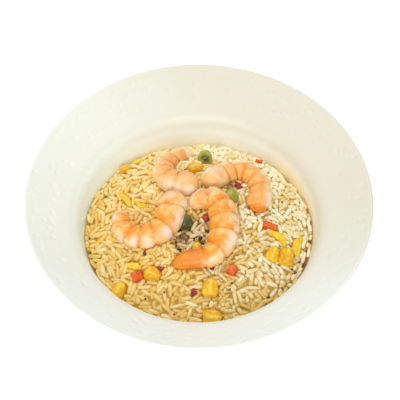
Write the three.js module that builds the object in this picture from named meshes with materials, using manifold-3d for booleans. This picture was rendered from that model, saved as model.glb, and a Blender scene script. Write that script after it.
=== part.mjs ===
import * as THREE from 'three';
import { mergeVertices } from 'three/addons/utils/BufferGeometryUtils.js';
import Module from 'manifold-3d';

// Fried rice with prawns, served in a deep bowl with a wide sloping rim.
// Millimetres, +Z up. The origin is the middle of the foot's underside, and -Y is the
// side towards the eater.

// Bowl
const RIM_RADIUS = 105;
const RIM_HEIGHT = 60;
const LIP_RADIUS = 74.5;
const LIP_HEIGHT = 41;
const WELL_RADIUS = 70.3;
const FLOOR_RADIUS = 50;
const FLOOR_HEIGHT = 8;
const FOOT_RADIUS = 45;
const FOOT_HEIGHT = 3;
const FOOT_HALF_WIDTH = 2.2;
const CLAY = 4;
const LIP_ROUND = 2.2;
const EDGE_ROUND = 1.4;
const BOWL_SIDES = 64;
const CURVE_STEPS = 4;

// Rice: it meets the wall at RICE_LINE and rises HEAP_RISE above that in the middle.
const RICE_LINE = 22;
const HEAP_RISE = 17.5;
const HEAP_POWER = 2.2;
const BROAD_SWELL = { height: 0.9, acrossX: 9, acrossY: 11 };
const FINE_SWELL = { height: 0.5, across: 6.5 };
const CORE_RINGS = 9;
const CORE_SIDES = 36;
const GRAIN = { length: 8.4, width: 2.5, height: 1.5, spread: 0.3, tilt: 30, sides: 5, rows: 3 };
const GRAIN_TRIES = 8000;
const GRAIN_AIR = 0.45;
const PACKED_LIFT = 0.3;
const LOOSE_LIFT = 1.3;
const LOOSE_GRAINS = 20;
const CRUMB_LIFT = 0.6;
const BARE_SPACING = 7;
const SEED = 20417;

// Every piece keeps this much air to its neighbours. The toppings are fitted to the bare
// surface between the grains, raised by the gap and by how far flat faces stray from it.
const GAP = 0.3;
const FLATNESS = 0.3;

// Prawns: the spine from the head end to the tail as seen from above, and half the depth
// at even steps along it.
const PRAWN = {
  flatness: 0.85,
  sink: 1,
  segments: 6,
  groove: 0.1,
  headRound: 0.13,
  tailRound: 0.1,
  sides: 10,
  stations: 24,
};
const PRAWNS = [
  {
    name: 'prawn_front',
    spine: [
      [-3.8, 2.9], [1.2, 8.4], [7.4, 10.4], [12.8, 4.8], [15.4, -5.8], [15.2, -17], [11.6, -25.2],
      [5, -30.2], [-4.5, -31.6], [-15.5, -34.8],
    ],
    depths: [5.8, 6.4, 7.3, 8.1, 8.5, 8.5, 8.1, 7.1, 5.9, 5.1, 3.8],
  },
  {
    name: 'prawn_left',
    spine: [
      [-16, 15], [-16, 4.5], [-18.2, -5.2], [-23.6, -13], [-31.5, -15.8], [-39.5, -14.2],
      [-45.4, -8.6], [-47.6, -1], [-47.2, 5.4],
    ],
    depths: [7.4, 8.4, 8.7, 8.4, 7.8, 7.5, 7.5, 7.1, 6.2, 5.5, 5],
  },
  {
    name: 'prawn_back',
    spine: [
      [-0.4, 17.8], [-7.2, 21.4], [-15.3, 23.8], [-21, 29.8], [-21.6, 38.6], [-17, 46.8],
      [-10.2, 52.2], [-3.6, 53.2],
    ],
    depths: [6.8, 7.6, 7.8, 7.5, 7.2, 6.8, 5.8, 4.9, 4.4, 4.1, 3.6],
  },
  {
    name: 'prawn_right',
    spine: [
      [1.4, 24.6], [9, 26.8], [16.6, 32.4], [24.4, 35.6], [32, 33.2], [37.6, 27],
      [38.6, 18.6], [37.2, 10.8], [36.6, 4],
    ],
    depths: [6.4, 7, 7, 6.5, 6.3, 6.3, 6.3, 6.5, 6.9, 7, 6.2],
  },
];

// Round and cut toppings: where each lies from above, how far its middle is lifted above
// the rice, and how it is turned.
const PEA_RADIUS = 4.8;
const PEAS = [
  { name: 'pea_back', at: [4, 47.8], lift: 3.6 },
  { name: 'pea_right', at: [19.8, 13.8], lift: 2.8 },
  { name: 'pea_left', at: [-7.8, -5.4], lift: 1.6 },
];

const CORN = { width: 9.4, length: 11.4, thickness: 6.2, taper: 0.3 };
const KERNELS = [
  { name: 'corn_back', at: [-2.4, 39], lift: 1.2, turn: 10, tip: 6, size: 0.8 },
  { name: 'corn_right', at: [52, -23.6], lift: 2.9, turn: 84, tip: 14, size: 1.1 },
  { name: 'corn_right_low', at: [44.4, -23.2], lift: 1.3, turn: 72, tip: 6, size: 0.95 },
  { name: 'corn_middle', at: [6.8, -48.2], lift: 2.6, turn: 84, tip: 14, size: 1.12 },
  { name: 'corn_left', at: [-27.2, -38], lift: 2.6, turn: -24, tip: 18, size: 1.0 },
  { name: 'corn_low_left', at: [-46.8, -45], lift: 2.2, turn: 58, tip: -10, size: 0.95 },
  { name: 'corn_low', at: [7.8, -63.6], lift: 1.8, turn: 4, tip: 4, size: 1.08 },
  { name: 'corn_far_left', at: [-46.4, 46], lift: 1.1, turn: 20, tip: -8, size: 0.72 },
  { name: 'corn_inner', at: [-0.9, -22.6], lift: 1.3, turn: 92, tip: 8, size: 0.72 },
];

const DICE_SKEW = 0.12;
const DICE_NARROW = 0.86;
const DICE_TIP = 10;
const CARROTS = [
  { name: 'carrot_left', at: [-36, -38.6], lift: 1.8, turn: 20, size: [6.4, 5.8, 5.4] },
  { name: 'carrot_middle', at: [20.1, -36.2], lift: 1.8, turn: 52, size: [5.8, 5.4, 5.2] },
  { name: 'carrot_right', at: [43.4, -4.6], lift: 1.4, turn: -24, size: [9, 4.4, 3.8] },
  { name: 'carrot_back', at: [38.3, 50.6], lift: 0.9, turn: -12, size: [4.6, 3, 2.8] },
];

const EGG_THICKNESS = 2.2;
const EGG_WAVE = 0.5;
const EGGS = [
  { name: 'egg_right', at: [48.6, -11], lift: 2.0, turn: -34, length: 15, width: 5, bend: 95 },
  { name: 'egg_far_right', at: [59.2, -15.2], lift: 1.8, turn: 84, length: 13.5, width: 6.2, bend: 40 },
  { name: 'egg_left', at: [-44.8, 16.6], lift: 1.8, turn: -58, length: 16, width: 4.2, bend: 40 },
  { name: 'egg_inner_left', at: [-35, 9.6], lift: 1.5, turn: -30, length: 9.5, width: 3.8, bend: -80 },
  { name: 'egg_low_left', at: [-38.2, -31.6], lift: 1.3, turn: -24, length: 10, width: 5, bend: 40 },
];

// Crumbs of ham, egg and corn that are too small to stand alone and are part of the rice.
const CRUMBS = [
  { at: [-21.9, -35.5], size: [5.2, 3.6, 3] },
  { at: [-2.6, -50], size: [5, 4, 3] },
  { at: [24.6, 24.2], size: [6.4, 4.4, 2.6] },
  { at: [4.8, -2.8], size: [4.2, 5.4, 2.6] },
  { at: [-38.6, 51.6], size: [6, 3.2, 2.4] },
  { at: [-28.4, 37.5], size: [6.4, 4, 2.8] },
  { at: [62.6, -8.6], size: [5, 3.4, 2.8] },
];

// Colours of the real surfaces
const COLOURS = {
  bowl: 0xebede0,
  rice: 0xf0ddab,
  prawn: 0xf6b587,
  pea: 0x7d9a2c,
  corn: 0xf3c21c,
  carrot: 0xef6f2a,
  egg: 0xf4cf3a,
};

const wasm = await Module();
wasm.setup();

function radians(degrees) {
  return degrees * Math.PI / 180;
}

// Repeatable random numbers between 0 and 1.
function randomFrom(seed) {
  let state = seed >>> 0;
  return () => {
    state = (state + 0x6d2b79f5) >>> 0;
    let mixed = Math.imul(state ^ (state >>> 15), state | 1);
    mixed ^= mixed + Math.imul(mixed ^ (mixed >>> 7), mixed | 61);
    return ((mixed ^ (mixed >>> 14)) >>> 0) / 4294967296;
  };
}

// Joins the shared corners of a closed geometry and makes a solid of it.
function solidOf(geometry) {
  geometry.deleteAttribute('normal');
  geometry.deleteAttribute('uv');
  const joined = mergeVertices(geometry, 1e-4);
  const corners = joined.index.array;
  const triangles = [];
  for (let i = 0; i < corners.length; i += 3) {
    const [a, b, c] = [corners[i], corners[i + 1], corners[i + 2]];
    if (a !== b && b !== c && c !== a) triangles.push(a, b, c);
  }
  return new wasm.Manifold(new wasm.Mesh({
    numProp: 3,
    vertProperties: new Float32Array(joined.attributes.position.array),
    triVerts: new Uint32Array(triangles),
  }));
}

// The largest single body of a solid, without sealed hollows and loose scraps.
function largestBody(solid) {
  const bodies = solid.decompose();
  return bodies.reduce((best, body) => (body.volume() > best.volume() ? body : best));
}

function meshOf(name, solid, material) {
  const { vertProperties, triVerts } = solid.getMesh();
  const geometry = new THREE.BufferGeometry();
  geometry.setAttribute('position', new THREE.BufferAttribute(vertProperties, 3));
  geometry.setIndex(new THREE.BufferAttribute(triVerts, 1));
  geometry.computeVertexNormals();
  const mesh = new THREE.Mesh(geometry, material);
  mesh.name = name;
  return mesh;
}

function moveCorners(geometry, change) {
  const places = geometry.attributes.position;
  const corner = new THREE.Vector3();
  for (let i = 0; i < places.count; i += 1) {
    corner.fromBufferAttribute(places, i);
    change(corner, i);
    places.setXYZ(i, corner.x, corner.y, corner.z);
  }
  return geometry;
}

// A profile of radius and height, turned about the vertical axis.
function turned(profile, sides) {
  return new THREE.LatheGeometry(profile, sides).rotateX(Math.PI / 2);
}

// Bowl

// The inside of the bowl from the lip down the wall and over the floor to the middle.
function drawWell(path) {
  const [bendRadius, bendHeight] = [WELL_RADIUS - 2.2, FLOOR_HEIGHT + 3.5];
  path.quadraticCurveTo(LIP_RADIUS - 0.1, LIP_HEIGHT, LIP_RADIUS - 0.6, LIP_HEIGHT - LIP_ROUND);
  path.lineTo(WELL_RADIUS, RICE_LINE);
  path.bezierCurveTo(bendRadius, bendHeight, FLOOR_RADIUS + 10, FLOOR_HEIGHT, FLOOR_RADIUS, FLOOR_HEIGHT);
  path.lineTo(0, FLOOR_HEIGHT);
}

function bowlGeometry() {
  const footIn = FOOT_RADIUS - FOOT_HALF_WIDTH;
  const footOut = FOOT_RADIUS + FOOT_HALF_WIDTH;
  const wallOut = WELL_RADIUS + CLAY;
  const lipOut = LIP_RADIUS + CLAY;
  const path = new THREE.Path();
  path.moveTo(0, FOOT_HEIGHT);
  path.lineTo(footIn - 1, FOOT_HEIGHT);
  path.lineTo(footIn, 0);
  path.lineTo(footOut, 0);
  path.lineTo(footOut + 1, FOOT_HEIGHT);
  path.bezierCurveTo(footOut + 17, FOOT_HEIGHT, wallOut - 1, FLOOR_HEIGHT + 2, wallOut, RICE_LINE);
  path.lineTo(lipOut - 0.4, LIP_HEIGHT - CLAY);
  path.lineTo(lipOut + 1.8, LIP_HEIGHT - 1);
  path.lineTo(RIM_RADIUS - EDGE_ROUND, RIM_HEIGHT - CLAY + 0.6);
  path.lineTo(RIM_RADIUS, RIM_HEIGHT - EDGE_ROUND);
  path.quadraticCurveTo(RIM_RADIUS, RIM_HEIGHT, RIM_RADIUS - EDGE_ROUND, RIM_HEIGHT);
  path.lineTo(LIP_RADIUS + LIP_ROUND, LIP_HEIGHT + LIP_ROUND / 2);
  drawWell(path);
  return turned(path.getPoints(CURVE_STEPS), BOWL_SIDES);
}

// The room inside the well, GAP clear of the clay all round, and open to above the heap.
function wellSpace() {
  const path = new THREE.Path();
  path.moveTo(LIP_RADIUS, LIP_HEIGHT);
  drawWell(path);
  const inside = path.getPoints(CURVE_STEPS).reverse();
  const flatSides = 1 - Math.cos(Math.PI / BOWL_SIDES);
  const inward = GAP + WELL_RADIUS * flatSides;
  const shrunk = inside.map((point) => new THREE.Vector2(Math.max(point.x - inward, 0), point.y + GAP));
  shrunk.push(new THREE.Vector2(LIP_RADIUS - GAP, RIM_HEIGHT), new THREE.Vector2(0, RIM_HEIGHT));
  return solidOf(turned(shrunk, BOWL_SIDES));
}

// Rice

// The bare heap is a dome with low swells over it.
function heapHeight(x, y) {
  const reach = Math.min(Math.hypot(x, y) / WELL_RADIUS, 1);
  const dome = HEAP_RISE * (1 - reach ** HEAP_POWER);
  const broad = Math.sin(x / BROAD_SWELL.acrossX + 1) * Math.cos(y / BROAD_SWELL.acrossY - 0.5);
  const fine = Math.sin((x + y) / FINE_SWELL.across + 2);
  return RICE_LINE + dome + BROAD_SWELL.height * broad + FINE_SWELL.height * fine;
}

// A plain disc that follows the bare heap, raised by lift.
function heapBlock(lift) {
  const profile = [new THREE.Vector2(0, 0), new THREE.Vector2(LIP_RADIUS, 0)];
  for (let ring = 0; ring <= CORE_RINGS; ring += 1) {
    profile.push(new THREE.Vector2(LIP_RADIUS * (1 - ring / CORE_RINGS), RIM_HEIGHT));
  }
  return solidOf(moveCorners(turned(profile, CORE_SIDES), (corner) => {
    if (corner.z > RIM_HEIGHT - 1) corner.z = heapHeight(corner.x, corner.y) + lift;
  }));
}

// One whole grain: a spindle with its ends along X.
function spindle({ x, y, turn, length, tip, lift }, grow = 0) {
  const grain = new THREE.SphereGeometry(0.5, GRAIN.sides, GRAIN.rows);
  const round = (GRAIN.width + 2 * grow) / Math.sin(Math.PI / GRAIN.rows);
  grain.scale(round, length + 2 * grow, round).rotateZ(Math.PI / 2);
  return solidOf(grain.applyMatrix4(layOnHeap(x, y, lift, turn, tip)));
}

// The six corners that a grain covers on the heap, as seen from above.
function footprint({ x, y, turn, length }) {
  const [end, shoulder, side] = [length / 2, length / 4, GRAIN.width / 2];
  const middle = new THREE.Vector2(x, y);
  const half = [[end, 0], [shoulder, side], [-shoulder, side]];
  const outline = [...half, ...half.map(([along, across]) => [-along, -across])];
  return outline.map(([along, across]) => (
    new THREE.Vector2(x + along, y + across).rotateAround(middle, turn)
  ));
}

// Points along a grain, close enough together to tell how near two grains lie.
function pointsAlong({ x, y, turn, length }) {
  return [-0.42, -0.25, -0.08, 0.08, 0.25, 0.42].map((share) => [
    x + share * length * Math.cos(turn),
    y + share * length * Math.sin(turn),
  ]);
}

function tooNear(grain, others, air) {
  const own = pointsAlong(grain);
  return others.some((other) => {
    const apart = Math.hypot(grain.x - other.x, grain.y - other.y);
    if (apart > (grain.length + other.length) / 2 + air) return false;
    return pointsAlong(other).some(([a, b]) => own.some(([c, d]) => Math.hypot(a - c, b - d) < air));
  });
}

function randomGrain(random, lift) {
  const radius = (WELL_RADIUS - 0.5) * Math.sqrt(random());
  const angle = 2 * Math.PI * random();
  return {
    x: radius * Math.cos(angle),
    y: radius * Math.sin(angle),
    turn: 2 * Math.PI * random(),
    length: GRAIN.length * (1 + GRAIN.spread * (random() - 0.5)),
    tip: radians(GRAIN.tilt) * (random() - 0.5),
    lift,
  };
}

// Grains that lie side by side over the whole heap, clear of each topping.
function packGrains(random, toppings) {
  const grains = [];
  for (let i = 0; i < GRAIN_TRIES; i += 1) {
    const grain = randomGrain(random, PACKED_LIFT);
    if (Math.hypot(grain.x, grain.y) > WELL_RADIUS - GRAIN.length / 3) continue;
    if (tooNear(grain, grains, GRAIN.width + GRAIN_AIR)) continue;
    if (toppings.intersect(spindle(grain, GAP)).isEmpty()) grains.push(grain);
  }
  return grains;
}

// Loose grains that lie across the packed ones.
function looseGrains(random, toppings) {
  const grains = [];
  while (grains.length < LOOSE_GRAINS) {
    const grain = randomGrain(random, LOOSE_LIFT);
    if (tooNear(grain, grains, GRAIN.length)) continue;
    if (toppings.intersect(spindle(grain, GAP)).isEmpty()) grains.push(grain);
  }
  return grains.map((grain) => spindle(grain));
}

// Points a few millimetres apart where no grain lies, mostly under the toppings.
function barePoints(random, grains) {
  const points = [];
  for (let x = -WELL_RADIUS; x < WELL_RADIUS; x += BARE_SPACING) {
    for (let y = -WELL_RADIUS; y < WELL_RADIUS; y += BARE_SPACING) {
      const spot = { x: x + random(), y: y + random(), turn: 0, length: 0 };
      if (Math.hypot(spot.x, spot.y) > WELL_RADIUS || tooNear(spot, grains, BARE_SPACING / 2)) continue;
      points.push([new THREE.Vector2(spot.x, spot.y)]);
    }
  }
  return points;
}

// The heap with a bump for each packed grain: a ridge over its footprint, and the bare
// surface between the footprints.
function grainyHeap(random, grains) {
  const rim = [];
  for (let i = 0; i < BOWL_SIDES; i += 1) {
    const angle = 2 * Math.PI * i / BOWL_SIDES;
    rim.push(new THREE.Vector2(LIP_RADIUS * Math.cos(angle), LIP_RADIUS * Math.sin(angle)));
  }
  const prints = [...grains.map(footprint), ...barePoints(random, grains)];
  const corners = [...rim, ...prints.flat()].map(({ x, y }) => [x, y, heapHeight(x, y) - GAP * random()]);
  const triangles = THREE.ShapeUtils.triangulateShape(rim, prints).map((face) => facingUp(face, corners));
  let swapped = true;
  while (swapped) swapped = swapLongEdges(triangles, corners);
  grains.forEach((grain, i) => {
    const first = BOWL_SIDES + 6 * i;
    const ridge = corners.length;
    for (const along of [grain.length / 5, -grain.length / 5]) {
      const [x, y] = [grain.x + along * Math.cos(grain.turn), grain.y + along * Math.sin(grain.turn)];
      const height = GRAIN.height * (1 + GRAIN.spread * (random() - 0.5));
      corners.push([x, y, heapHeight(x, y) + height + along * Math.sin(grain.tip) / 2]);
    }
    const tops = [ridge, ridge, ridge + 1, ridge + 1, ridge + 1, ridge];
    tops.forEach((top, k) => {
      const [here, next] = [first + k, first + (k + 1) % 6];
      triangles.push([here, next, top]);
      if (tops[(k + 1) % 6] !== top) triangles.push([next, tops[(k + 1) % 6], top]);
    });
  });
  return { corners, triangles };
}

function facingUp([a, b, c], corners) {
  const [ax, ay] = corners[a];
  const area = (corners[b][0] - ax) * (corners[c][1] - ay) - (corners[b][1] - ay) * (corners[c][0] - ax);
  return area > 0 ? [a, b, c] : [a, c, b];
}

// Swaps the shared edge of each pair of triangles where that makes them less thin.
// Returns whether any edge was swapped.
function swapLongEdges(triangles, corners) {
  const owners = new Map();
  triangles.forEach((face, i) => face.forEach((a, k) => owners.set(`${a} ${face[(k + 1) % 3]}`, i)));
  const changed = new Set();
  triangles.forEach((face, i) => {
    for (let k = 0; k < 3 && !changed.has(i); k += 1) {
      const [a, b, c] = [face[k], face[(k + 1) % 3], face[(k + 2) % 3]];
      const other = owners.get(`${b} ${a}`);
      if (other === undefined || changed.has(other)) continue;
      const d = triangles[other].find((corner) => corner !== a && corner !== b);
      if (!insideCircle(a, b, c, d, corners)) continue;
      triangles[i] = [c, a, d];
      triangles[other] = [d, b, c];
      changed.add(i).add(other);
    }
  });
  return changed.size > 0;
}

// Whether corner d lies inside the circle through a, b and c, seen from above.
function insideCircle(a, b, c, d, corners) {
  const [x, y] = corners[d];
  const rows = [a, b, c].map((corner) => {
    const [u, v] = [corners[corner][0] - x, corners[corner][1] - y];
    return [u, v, u * u + v * v];
  });
  return new THREE.Matrix3(...rows.flat()).determinant() > 1e-6;
}

// Closes an upper surface with a skirt and a flat underside at z = 0.
function standOnFloor({ corners, triangles }) {
  const base = corners.length;
  const all = [...corners];
  for (let i = 0; i < BOWL_SIDES; i += 1) all.push([corners[i][0], corners[i][1], 0]);
  const centre = all.length;
  all.push([0, 0, 0]);
  const faces = [...triangles];
  for (let i = 0; i < BOWL_SIDES; i += 1) {
    const next = (i + 1) % BOWL_SIDES;
    faces.push([i, base + i, base + next], [i, base + next, next], [base + next, base + i, centre]);
  }
  const geometry = new THREE.BufferGeometry();
  geometry.setAttribute('position', new THREE.Float32BufferAttribute(all.flat(), 3));
  geometry.setIndex(faces.flat());
  return solidOf(geometry);
}

// Crumbs are cut lumps that are half sunk in the rice, and shortened beside a topping.
function crumbSolids(toppings) {
  return CRUMBS.map(({ at: [x, y], size }, i) => {
    const crumb = new THREE.DodecahedronGeometry(0.56);
    crumb.scale(...size);
    crumb.applyMatrix4(layOnHeap(x, y, CRUMB_LIFT, i, 0));
    return solidOf(crumb).subtract(toppings);
  });
}

// Toppings

// Moves a piece onto the heap: turn is about the upright, tip raises its +X end.
function layOnHeap(x, y, lift, turn, tip) {
  const step = 1;
  const slopeX = (heapHeight(x + step, y) - heapHeight(x - step, y)) / (2 * step);
  const slopeY = (heapHeight(x, y + step) - heapHeight(x, y - step)) / (2 * step);
  const up = new THREE.Vector3(-slopeX, -slopeY, 1).normalize();
  const lean = new THREE.Quaternion().setFromUnitVectors(new THREE.Vector3(0, 0, 1), up);
  const spin = new THREE.Quaternion().setFromEuler(new THREE.Euler(0, -tip, turn, 'ZYX'));
  const place = new THREE.Vector3(x, y, heapHeight(x, y)).addScaledVector(up, lift);
  return new THREE.Matrix4().compose(place, lean.multiply(spin), new THREE.Vector3(1, 1, 1));
}

// Half the depth of a prawn at t from head (0) to tail (1): first without its rounded ends
// and the grooves between segments, then with them.
function prawnDepth(t, depths) {
  const place = t * (depths.length - 1);
  const before = Math.min(Math.floor(place), depths.length - 2);
  return THREE.MathUtils.lerp(depths[before], depths[before + 1], place - before);
}

function prawnGirth(t, depths) {
  const head = Math.sqrt(1 - (1 - Math.min(t / PRAWN.headRound, 1)) ** 2);
  const end = Math.sqrt(1 - (Math.max(t - 1 + PRAWN.tailRound, 0) / PRAWN.tailRound) ** 2);
  const groove = 1 - PRAWN.groove * Math.abs(Math.cos(Math.PI * PRAWN.segments * t)) ** 6;
  return head * end * groove * prawnDepth(t, depths);
}

// A ball is stretched along the curled spine: its rows become the prawn's stations.
function prawnSolid({ spine, depths }, grow) {
  const flat = new THREE.CatmullRomCurve3(spine.map(([x, y]) => new THREE.Vector3(x, y, 0)));
  const ball = new THREE.SphereGeometry(1, PRAWN.sides, PRAWN.stations);
  const up = new THREE.Vector3(0, 0, 1);
  return solidOf(moveCorners(ball, (corner) => {
    const t = Math.acos(THREE.MathUtils.clamp(corner.y, -1, 1)) / Math.PI;
    const around = Math.atan2(corner.z, corner.x);
    const girth = prawnGirth(t, depths);
    const place = flat.getPointAt(t);
    const outward = up.clone().cross(flat.getTangentAt(t));
    const height = heapHeight(place.x, place.y) + PRAWN.flatness * prawnDepth(t, depths) - PRAWN.sink;
    const open = girth > 1e-3 ? 1 : 0;
    corner.copy(place).addScaledVector(outward, open * (girth + grow) * Math.cos(around));
    corner.z = height + open * (PRAWN.flatness * girth + grow) * Math.sin(around);
  }));
}

function peaSolid({ at: [x, y], lift }, grow) {
  const pea = new THREE.SphereGeometry(PEA_RADIUS + grow, 10, 6).rotateX(Math.PI / 2);
  return solidOf(pea.applyMatrix4(layOnHeap(x, y, lift, 0, 0)));
}

// A kernel is broad at its crown, narrow at the end that sat on the cob, and flat.
function kernelSolid({ at: [x, y], lift, turn, tip, size }, grow) {
  const kernel = new THREE.SphereGeometry(1, 8, 5).rotateZ(Math.PI / 2);
  moveCorners(kernel, (corner) => {
    corner.y *= (CORN.width / 2 * size + grow) * (1 - CORN.taper * (corner.x + 0.4));
    corner.z *= CORN.thickness / 2 * size + grow;
    corner.x *= CORN.length / 2 * size + grow;
  });
  return solidOf(kernel.applyMatrix4(layOnHeap(x, y, lift, radians(turn), radians(tip))));
}

function carrotSolid({ at: [x, y], lift, turn, size: [length, width, height] }, grow) {
  const dice = new THREE.BoxGeometry(length + 2 * grow, width + 2 * grow, height + 2 * grow);
  moveCorners(dice, (corner) => {
    corner.x += DICE_SKEW * corner.z;
    corner.y *= corner.x > 0 ? DICE_NARROW : 1;
  });
  return solidOf(dice.applyMatrix4(layOnHeap(x, y, lift, radians(turn), radians(DICE_TIP))));
}

// Egg is a wavy sheet, bent into an arc along its length and narrower at both ends.
function eggSolid({ at: [x, y], lift, turn, length, width, bend }, grow) {
  const sheet = new THREE.BoxGeometry(length + 2 * grow, width + 2 * grow, EGG_THICKNESS + 2 * grow, 5, 1, 1);
  const arc = radians(bend);
  const arcRadius = length / arc;
  moveCorners(sheet, (corner) => {
    const along = corner.x / length;
    const radius = arcRadius + corner.y * (1 - 0.5 * Math.abs(along));
    corner.z += EGG_WAVE * Math.sin(along * 3 * Math.PI);
    corner.x = radius * Math.sin(along * arc);
    corner.y = radius * Math.cos(along * arc) - arcRadius;
  });
  return solidOf(sheet.applyMatrix4(layOnHeap(x, y, lift, radians(turn), 0)));
}

// Every kind of topping with the function that shapes it.
const TOPPINGS = [
  { colour: 'prawn', shape: prawnSolid, pieces: PRAWNS },
  { colour: 'pea', shape: peaSolid, pieces: PEAS },
  { colour: 'corn', shape: kernelSolid, pieces: KERNELS },
  { colour: 'carrot', shape: carrotSolid, pieces: CARROTS },
  { colour: 'egg', shape: eggSolid, pieces: EGGS },
];

const FINISHES = { bowl: 0.25, rice: 0.6, prawn: 0.4, pea: 0.45, corn: 0.35, carrot: 0.5, egg: 0.6 };

function materialFor(colour) {
  return new THREE.MeshStandardMaterial({
    color: COLOURS[colour],
    roughness: FINISHES[colour],
    metalness: 0,
  });
}

const dish = new THREE.Group();
const room = wellSpace();
const raisedCore = heapBlock(GAP + FLATNESS);
let keepOut = null;
for (const { colour, shape, pieces } of TOPPINGS) {
  const material = materialFor(colour);
  for (const piece of pieces) {
    let solid = shape(piece, 0).subtract(raisedCore);
    if (keepOut) solid = solid.subtract(keepOut);
    const grown = shape(piece, GAP);
    keepOut = keepOut ? keepOut.add(grown) : grown;
    dish.add(meshOf(piece.name, largestBody(solid), material));
  }
}

const random = randomFrom(SEED);
const packed = packGrains(random, keepOut);
const heap = wasm.Manifold.union([
  standOnFloor(grainyHeap(random, packed)),
  ...looseGrains(random, keepOut),
  ...crumbSolids(keepOut),
]);
dish.add(meshOf('rice', largestBody(heap.intersect(room)), materialFor('rice')));
dish.add(meshOf('bowl', solidOf(bowlGeometry()), materialFor('bowl')));

export default dish;
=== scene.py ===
import math

import bmesh
import bpy
import numpy as np
from mathutils import Euler, Matrix, Vector, noise
from mathutils.bvhtree import BVHTree


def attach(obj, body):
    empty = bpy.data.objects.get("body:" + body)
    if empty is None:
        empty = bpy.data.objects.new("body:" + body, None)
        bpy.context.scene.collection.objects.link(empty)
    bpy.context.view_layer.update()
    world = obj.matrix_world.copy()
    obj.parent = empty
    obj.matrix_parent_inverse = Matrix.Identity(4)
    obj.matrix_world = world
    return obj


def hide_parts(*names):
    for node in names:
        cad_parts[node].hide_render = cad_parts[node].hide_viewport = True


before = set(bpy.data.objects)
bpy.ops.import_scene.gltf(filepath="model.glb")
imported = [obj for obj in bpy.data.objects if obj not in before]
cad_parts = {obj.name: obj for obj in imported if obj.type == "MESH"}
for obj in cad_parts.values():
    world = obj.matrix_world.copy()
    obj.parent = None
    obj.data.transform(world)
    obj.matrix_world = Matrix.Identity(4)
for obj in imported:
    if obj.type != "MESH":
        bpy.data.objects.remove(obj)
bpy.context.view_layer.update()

# Fried rice with prawns in a deep bowl with a wide sloping rim. Shapes are worked out in
# millimetres and finished in metres. +Z is up and -Y is the side towards the eater.

MM = 0.001

# Bowl
RIM_RADIUS = 105
RIM_HEIGHT = 60
LIP_RADIUS = 74.5
LIP_HEIGHT = 41
WELL_RADIUS = 70.3
FLOOR_RADIUS = 50
FLOOR_HEIGHT = 8
FOOT_RADIUS = 45
FOOT_HEIGHT = 3
FOOT_HALF_WIDTH = 2.2
CLAY = 4
LIP_ROUND = 2.2
EDGE_ROUND = 1.4

# The heap of rice, bare of its grains
RICE_LINE = 22
HEAP_RISE = 17.5
HEAP_POWER = 2.2

# The view: the camera looks at the middle of the rim's circle, which lies a little left of
# and above the picture's middle.
PICTURE = 400
VIEW_ELEVATION = 54.53
VIEW_DISTANCE = 840
VIEW_ANGLE = 16.27
RIM_CENTRE_PIXEL = (198.4, 196.7)


def radians(degrees):
    return degrees * math.pi / 180


def linked(name, data):
    """A new object in the scene, at the origin."""
    made = bpy.data.objects.new(name, data)
    bpy.context.scene.collection.objects.link(made)
    return made


def make_camera():
    data = bpy.data.cameras.new("view")
    data.sensor_width = 36
    data.lens = data.sensor_width / 2 / math.tan(radians(VIEW_ANGLE) / 2)
    data.shift_x = (PICTURE / 2 - RIM_CENTRE_PIXEL[0]) / PICTURE
    data.shift_y = (RIM_CENTRE_PIXEL[1] - PICTURE / 2) / PICTURE
    data.clip_start, data.clip_end = 0.01, 20
    camera = linked("view", data)
    elevation = radians(VIEW_ELEVATION)
    back = Vector((0, -math.cos(elevation), math.sin(elevation)))
    camera.location = Vector((0, 0, RIM_HEIGHT * MM)) + back * VIEW_DISTANCE * MM
    camera.rotation_euler = (-back).to_track_quat("-Z", "Y").to_euler()
    bpy.context.scene.camera = camera


make_camera()

# Materials


def tint(red, green, blue):
    """A colour as a screen shows it, 0 to 255, in the linear values that a shader takes."""
    shares = [value / 255 for value in (red, green, blue)]
    linear = [s / 12.92 if s <= 0.04045 else ((s + 0.055) / 1.055) ** 2.4 for s in shares]
    return (*linear, 1)


def shade(value):
    """Three numbers are a colour as a screen shows it. Anything else is passed on."""
    return tint(*value) if isinstance(value, tuple) and len(value) == 3 else value


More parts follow.
